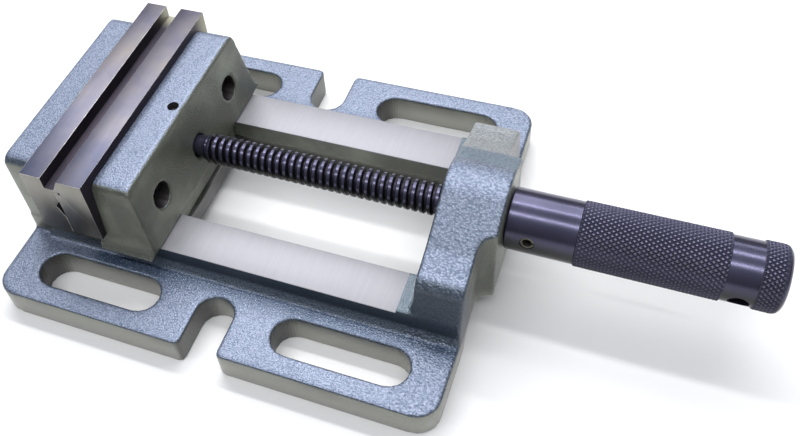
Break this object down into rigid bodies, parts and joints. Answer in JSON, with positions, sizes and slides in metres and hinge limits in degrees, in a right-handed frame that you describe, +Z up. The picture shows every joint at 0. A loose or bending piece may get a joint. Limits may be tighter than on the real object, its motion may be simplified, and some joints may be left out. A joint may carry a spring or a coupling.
{
  "type": "drill press vise",
  "caption": "Flanged drill press vise: slotted cast base with ground rails, ground jaw plates, a sliding jaw and a lead screw turned by a knurled handle.",
  "frame": {"origin": "underside of the base, on the centre plane, directly below the gripping face of the fixed jaw plate", "axes": "+X along the screw towards the handle, +Y across the jaws, +Z up from the face the base stands on"},
  "size_m": [0.2747, 0.15, 0.058],
  "materials": {
    "hammer_enamel": "blue-grey hammered enamel on cast iron",
    "ground_iron": "bare ground rail tops",
    "jaw_steel": "hardened and ground, darkened with oil",
    "black_oxide": "blackened steel with a blue-violet sheen",
    "fastener_steel": "blackened screws",
    "spring_steel": "bright spring steel",
    "bare_steel": "machined"
  },
  "bodies": {
    "base": {"base_body": "hammer_enamel", "fixed_jaw_plate": "jaw_steel", "fixed_plate_screw_near": "fastener_steel", "fixed_plate_screw_far": "fastener_steel", "fixed_plate_washer_near": "spring_steel", "fixed_plate_washer_far": "spring_steel"},
    "moving_jaw_group": {"moving_jaw": "hammer_enamel", "moving_jaw_plate": "jaw_steel", "moving_plate_screw_near": "fastener_steel", "moving_plate_screw_far": "fastener_steel", "moving_plate_washer_near": "spring_steel", "moving_plate_washer_far": "spring_steel", "keeper_plate": "bare_steel", "keeper_screw_near": "fastener_steel", "keeper_screw_far": "fastener_steel", "keeper_washer_near": "spring_steel", "keeper_washer_far": "spring_steel", "spindle_retaining_screw": "fastener_steel", "thrust_disc": "bare_steel"},
    "spindle": {"lead_screw": "black_oxide", "handle": "black_oxide", "handle_pin": "spring_steel"}
  },
  "joints": [
    {"name": "jaw_slide", "type": "slide", "parent": "base", "child": "moving_jaw_group", "axis": [1, 0, 0], "range_m": [0, 0.09]},
    {"name": "spindle_turn", "type": "hinge", "parent": "moving_jaw_group", "child": "spindle", "pos_m": [0.15, 0, 0.034], "axis": [1, 0, 0], "range_deg": [0, 10800]}
  ],
  "couplings": [
    {"joint": "spindle_turn", "follows": "jaw_slide", "rad_per_m": 2094.4}
  ]
}
